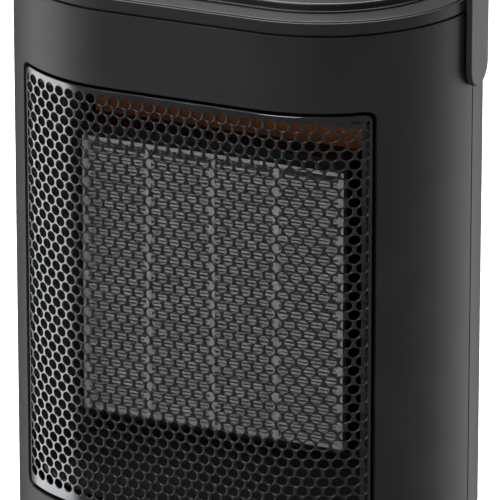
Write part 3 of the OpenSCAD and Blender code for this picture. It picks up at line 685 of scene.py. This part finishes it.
def knob(node, body, prefix):
    """Round knob with a skirt, a fluted grip and a ridge across its top. Gives its place and radius."""
    low, high = cad(node)
    x, y = (low[0] + high[0]) / 2, (low[1] + high[1]) / 2
    skirt_r, z0, top = (high[0] - low[0]) / 2, low[2], high[2]
    grip_r, skirt_h, cap_z = skirt_r - 3, 3.0, top - 2
    shape = Shape()
    angles = np.arange(FLUTE_SIDES) * 2 * math.pi / FLUTE_SIDES
    wave = (0.5 + 0.5 * np.cos(angles * FLUTES)) ** 2
    spokes = np.column_stack([np.cos(angles), np.sin(angles), np.zeros(FLUTE_SIDES)])
    shoulder = z0 + skirt_h
    stages = [
        (skirt_r - 0.5, z0, 0),
        (skirt_r, z0 + 0.5, 0),
        (skirt_r, shoulder - 1.2, 0),
        (skirt_r - 0.35, shoulder - 0.5, 0),
        (skirt_r - 1.0, shoulder - 0.1, 0),
        (grip_r + 0.9, shoulder, 0),
        (grip_r + 0.3, shoulder + 0.3, 0),
        (grip_r, shoulder + 1.0, FLUTE_DEPTH),
        (grip_r - 0.3, cap_z - 1.2, FLUTE_DEPTH),
        (grip_r - 0.6, cap_z - 0.5, 0.35),
        (grip_r - 1.2, cap_z - 0.1, 0),
        (grip_r - 2.0, cap_z, 0),
        (grip_r - 2.6, cap_z - 0.25, 0),
    ]
    rings = [
        np.array([x, y, z]) + spokes * (r - depth * wave)[:, None] * [1, 1, 0]
        for r, z, depth in stages
    ]
    ids = shape.rings(rings, [spokes] * len(rings))
    shape.cap(ids[0], (0, 0, -1), reverse=True)
    shape.cap(ids[-1], (0, 0, 1))
    ridge_h = top - z0 - skirt_h - 1
    loop = rounded_rect(-grip_r + 0.1, grip_r - 0.1, -RIDGE_HALF, RIDGE_HALF, 3.4, 3.0, 8)
    surface = flat_face((x, y, top), (0, 1, 0), (-1, 0, 0))
    plate(shape, [edge(loop, through(0.8, ridge_h))], NO_GRID, surface, ridge_h)
    build(prefix + "_knob_cap", shape, body, KNOB_PLASTIC, [node], own_normals=False)
    mark = Shape()
    loop = rounded_rect(-grip_r + 2, -3, -0.6, 0.6, 0.55, 2.0, 4)
    surface = flat_face((x, y, top + 0.08), (0, 1, 0), (-1, 0, 0))
    plate(mark, [edge(loop, through(0.05, PRINT_T))], NO_GRID, surface, PRINT_T)
    build(prefix + "_knob_pointer", mark, body, MARK_WHITE)
    return x, y, skirt_r


def dial(name, centre, sweep, steps, long_every):
    """Raised marks round a knob, from the front clockwise."""
    x, y, radius = centre
    shape = Shape()
    for i in range(steps + 1):
        a = math.radians(-90 - sweep * i / steps)
        out, across = np.array([math.cos(a), math.sin(a), 0]), np.array([-math.sin(a), math.cos(a), 0])
        length = LONG_MARK if i % long_every == 0 else SHORT_MARK
        loop = rounded_rect(radius + MARK_GAP, radius + MARK_GAP + length, -0.3, 0.3, 0.25, 2.0, 3)
        surface = flat_face((x, y, panel_z + 0.12), out, across)
        plate(shape, [edge(loop, through(0.05, PRINT_T))], NO_GRID, surface, PRINT_T)
    build(name, shape, "casing", MARK_WHITE)


mode_centre = knob("mode_knob", "mode_dial", "mode")
heat_centre = knob("thermostat_knob", "thermostat_dial", "thermostat")
dial("mode_dial_marks", mode_centre, 135, 3, 1)
dial("thermostat_dial_marks", heat_centre, 270, 18, 3)

lens_low, lens_high = cad("indicator_lens")
lens_centre = ((lens_low[0] + lens_high[0]) / 2, (lens_low[1] + lens_high[1]) / 2, 0)
LENS_R, SMALL_SIDES = 3.0, 40
lens = Shape()
lens_base = panel_z + 0.15
dome = [
    (LENS_R * math.cos(a), lens_base + 0.45 * math.sin(a), math.cos(a) * 0.3, math.sin(a))
    for a in np.linspace(0, 1.35, 7)
]
collar_r, collar_z = LENS_R + 1.2, lens_low[2] + 1.2
lens_profile = soften([(collar_r, lens_low[2], 0), (collar_r, collar_z, 0), (LENS_R, collar_z, 0)])
lathe(lens, lens_profile + [(LENS_R, lens_base, 1, 0)] + dome, lens_centre, count=SMALL_SIDES)
build("indicator_window", lens, "casing", lens_material, ["indicator_lens"])
bezel = Shape()
bezel_r = LENS_R + 0.05, LENS_R + 1.1
bezel_z = panel_z - 0.2, panel_z + 0.35
bezel_profile = soften(
    [
        (bezel_r[0], bezel_z[0], 0),
        (bezel_r[1], bezel_z[0], 0),
        (bezel_r[1], bezel_z[1], 0.25),
        (bezel_r[0], bezel_z[1], 0.15),
    ],
    closed=True,
)
lathe(bezel, bezel_profile, lens_centre, count=SMALL_SIDES, cap=False, closed=True)
build("indicator_bezel", bezel, "casing", KNOB_PLASTIC)

# ---------------------------------------------------------------- feet and cord gland

feet_low, feet_high = cad("rubber_feet")
FOOT_R, FOOT_H, PEG_R = 8.0, 3.0, 3.0
feet = Shape()
foot_profile = soften(
    [
        (FOOT_R - 2.2, 0, 0.2),
        (FOOT_R, 0, 0.9),
        (FOOT_R, FOOT_H, 0),
        (PEG_R, FOOT_H, 0),
        (PEG_R, feet_high[2], 0.3),
        (1.0, feet_high[2], 0),
    ]
)
for x in (feet_low[0] + FOOT_R, feet_high[0] - FOOT_R):
    for y in (feet_low[1] + FOOT_R, feet_high[1] - FOOT_R):
        lathe(feet, foot_profile, (x, y, 0), count=SMALL_SIDES)
build("feet", feet, "casing", RUBBER, ["rubber_feet"])

gland_axis = (-math.sin(GLAND_TURN), math.cos(GLAND_TURN), 0)
gland_centre = (-BACK_FLAT, SEAM_Y, GLAND_Z)
GLAND_BORE, GLAND_COLLAR, GLAND_INNER_END = 3.6, 9, 36
gland = Shape()
gland_profile = soften(
    [
        (GLAND_BORE, GLAND_INNER_END, 0.3),
        (GLAND_R - 0.2, GLAND_INNER_END, 0.4),
        (GLAND_R - 0.2, BACK_R + 0.1, 0),
        (GLAND_COLLAR, BACK_R + 0.1, 0.1),
        (GLAND_COLLAR, BACK_R + 1.4, 0.5),
        (6.2, BACK_R + 1.7, 0.3),
        (5.2, BACK_R + 2.6, 0.4),
        (GLAND_BORE, BACK_R + 2.6, 0.4),
    ],
    closed=True,
)
lathe(gland, gland_profile, gland_centre, gland_axis, 48, cap=False, closed=True)
build("cord_bushing", gland, "casing", RUBBER, ["cord_gland"])

# ---------------------------------------------------------------- heating fins

random.seed(7)
BARS = cad("heating_bars")
BAR_W, COLUMNS_OF_FINS, FOIL, PASS_PITCH = 2.3, 4, 0.78, 1.4
SIDE_ROOM, FOLD_IN, PASS_LEAN, JITTER = 0.25, 0.45, 0.2, 0.025
fin_y0, fin_y1 = FINS[0][1] + 0.2, FINS[1][1]
column_step = (BARS[1][0] - BARS[0][0] - BAR_W) / COLUMNS_OF_FINS
fins = Shape()
passes = int((FINS[1][2] - FINS[0][2]) / PASS_PITCH)
for c in range(COLUMNS_OF_FINS):
    x0 = BARS[0][0] + BAR_W + c * column_step + SIDE_ROOM
    x1 = x0 + column_step - BAR_W - 2 * SIDE_ROOM
    line = []
    for p in range(passes):
        z = FINS[0][2] + (p + 0.5) * PASS_PITCH
        xs = np.linspace(x0 + FOLD_IN, x1 - FOLD_IN, 9)
        heights = z + PASS_LEAN * (xs - (x0 + x1) / 2) / (x1 - x0) * (1 if p % 2 == 0 else -1)
        heights = heights + np.array([random.uniform(-JITTER, JITTER) for _ in xs])
        if p % 2:
            xs, heights = xs[::-1], heights[::-1]
        line += list(zip(xs, heights))
        if p < passes - 1:
            side = -1 if p % 2 else 1
            end = x1 if side > 0 else x0
            near = end - side * 0.1
            line += [(near, z + 0.18), (end, z + PASS_PITCH / 2), (near, z + PASS_PITCH - 0.18)]
    line = np.array(line)
    direction = np.gradient(line, axis=0)
    direction /= np.linalg.norm(direction, axis=1)[:, None]
    over = np.column_stack([-direction[:, 1], direction[:, 0]]) * FOIL / 2
    rings = []
    for point, off in zip(line, over):
        (ax, az), (bx, bz) = point - off, point + off
        rings.append([(ax, fin_y0, az), (ax, fin_y1, az), (bx, fin_y1, bz), (bx, fin_y0, bz)])
    ids = fins.rings(rings, [np.zeros((4, 3))] * len(rings))
    fins.cap(ids[0], (0, 0, 0), reverse=True)
    fins.cap(ids[-1], (0, 0, 0))
build("fin_foil", fins, "casing", FIN_ALUMINIUM, ["heating_fins"], own_normals=False)

# ---------------------------------------------------------------- finishes of the CAD parts that stay

FINISHES = {
    "base_plate": BASE_PLASTIC,
    "handle_bushes": BUSH_PLASTIC,
    "mode_shaft": WHITE_PLASTIC,
    "mode_switch": SWITCH_PLASTIC,
    "thermostat_shaft": BRASS,
    "thermostat": CERAMIC,
    "indicator_lamp": WHITE_PLASTIC,
    "air_duct": DUCT_PLASTIC,
    "fan_shroud": DUCT_PLASTIC,
    "element_carrier": CARRIER,
    "element_frame": DARK_STEEL,
    "heating_bars": BAR_ALUMINIUM,
    "heater_terminals": BRASS,
    "fan_impeller": FAN_PLASTIC,
    "motor_shaft": STEEL,
    "motor_housing": MOTOR_METAL,
    "motor_bearings": BRASS,
    "motor_bracket": DARK_STEEL,
    "motor_screws": STEEL,
    "thermal_cutout": CERAMIC,
    "thermal_fuse": WHITE_PLASTIC,
    "tip_plunger": WHITE_PLASTIC,
    "tip_switch": SWITCH_PLASTIC,
    "terminal_block": WHITE_PLASTIC,
    "lead_wires": WIRE_RED,
    "shell_screws": STEEL,
    "base_screws": STEEL,
}
for node, material in FINISHES.items():
    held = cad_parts[node].data.materials
    held.clear()
    held.append(material)

# ---------------------------------------------------------------- floor, light and camera

scene = bpy.context.scene
scene.view_settings.view_transform = "Standard"

floor_mesh = bpy.data.meshes.new("floor")
FLOOR_HALF = 30.0
floor_corners = [(FLOOR_HALF * x, FLOOR_HALF * y, 0) for x, y in ((-1, -1), (1, -1), (1, 1), (-1, 1))]
floor_mesh.from_pydata(floor_corners, [], [(0, 1, 2, 3)])
floor_material, floor_tree, floor_shader = new_material("floor_paint")
floor_tree.links.new(ramp(floor_tree, noise(floor_tree, 1.5), 0.86, 0.90), floor_shader.inputs["Base Color"])
floor_shader.inputs["Roughness"].default_value = 0.9
floor_shader.inputs["Specular IOR Level"].default_value = 0.1
floor_mesh.materials.append(floor_material)
floor = bpy.data.objects.new("floor", floor_mesh)
scene.collection.objects.link(floor)
floor.visible_glossy = False
floor.visible_shadow = False

world = bpy.data.worlds.new("studio")
scene.world = world
world.use_nodes = True
world.node_tree.nodes["Background"].inputs["Color"].default_value = (1, 1, 1, 1)
world.node_tree.nodes["Background"].inputs["Strength"].default_value = 0.12

# Metres. The camera was fitted to the photo.
CAMERA_AT = Vector((0.9483, -2.0544, 0.9452))
LOOK = Vector((-0.3930, 0.8542, -0.3405))
LENS = 461.3
TARGET = Vector((0.0, 0.0, 0.13))


def softbox(name, azimuth, elevation, distance, width, height, power):
    """Area light aimed at the object. Azimuth 0 is the camera's side, and turns towards its right."""
    base = math.atan2(CAMERA_AT.x, -CAMERA_AT.y)
    a, e = base + math.radians(azimuth), math.radians(elevation)
    way = Vector((math.sin(a) * math.cos(e), -math.cos(a) * math.cos(e), math.sin(e)))
    data = bpy.data.lights.new(name, "AREA")
    data.shape = "RECTANGLE"
    data.size, data.size_y = width, height
    data.energy = power
    light = bpy.data.objects.new(name, data)
    light.location = TARGET + way * distance
    light.rotation_euler = (-way).to_track_quat("-Z", "Y").to_euler()
    light.visible_camera = False
    scene.collection.objects.link(light)


# Name, azimuth, elevation, distance, width, height, power.
LIGHTS = [
    ("left_softbox", -103, -8, 1.8, 1.4, 2.0, 25),
    ("right_softbox", 118, -10, 1.8, 1.6, 1.8, 15),
    ("front_softbox", -30, 28, 2.7, 1.2, 1.0, 18),
    ("overhead", 180, 72, 2.0, 2.4, 1.6, 74),
    ("back_floor", 180, 75, 2.2, 3.0, 2.0, 85),
]
for light in LIGHTS:
    softbox(*light)

camera_data = bpy.data.cameras.new("camera")
camera_data.sensor_width = 36
camera_data.lens = LENS
camera_data.clip_end = 100
camera = bpy.data.objects.new("camera", camera_data)
camera.location = CAMERA_AT
camera.rotation_euler = LOOK.to_track_quat("-Z", "Y").to_euler()
scene.collection.objects.link(camera)
scene.camera = camera
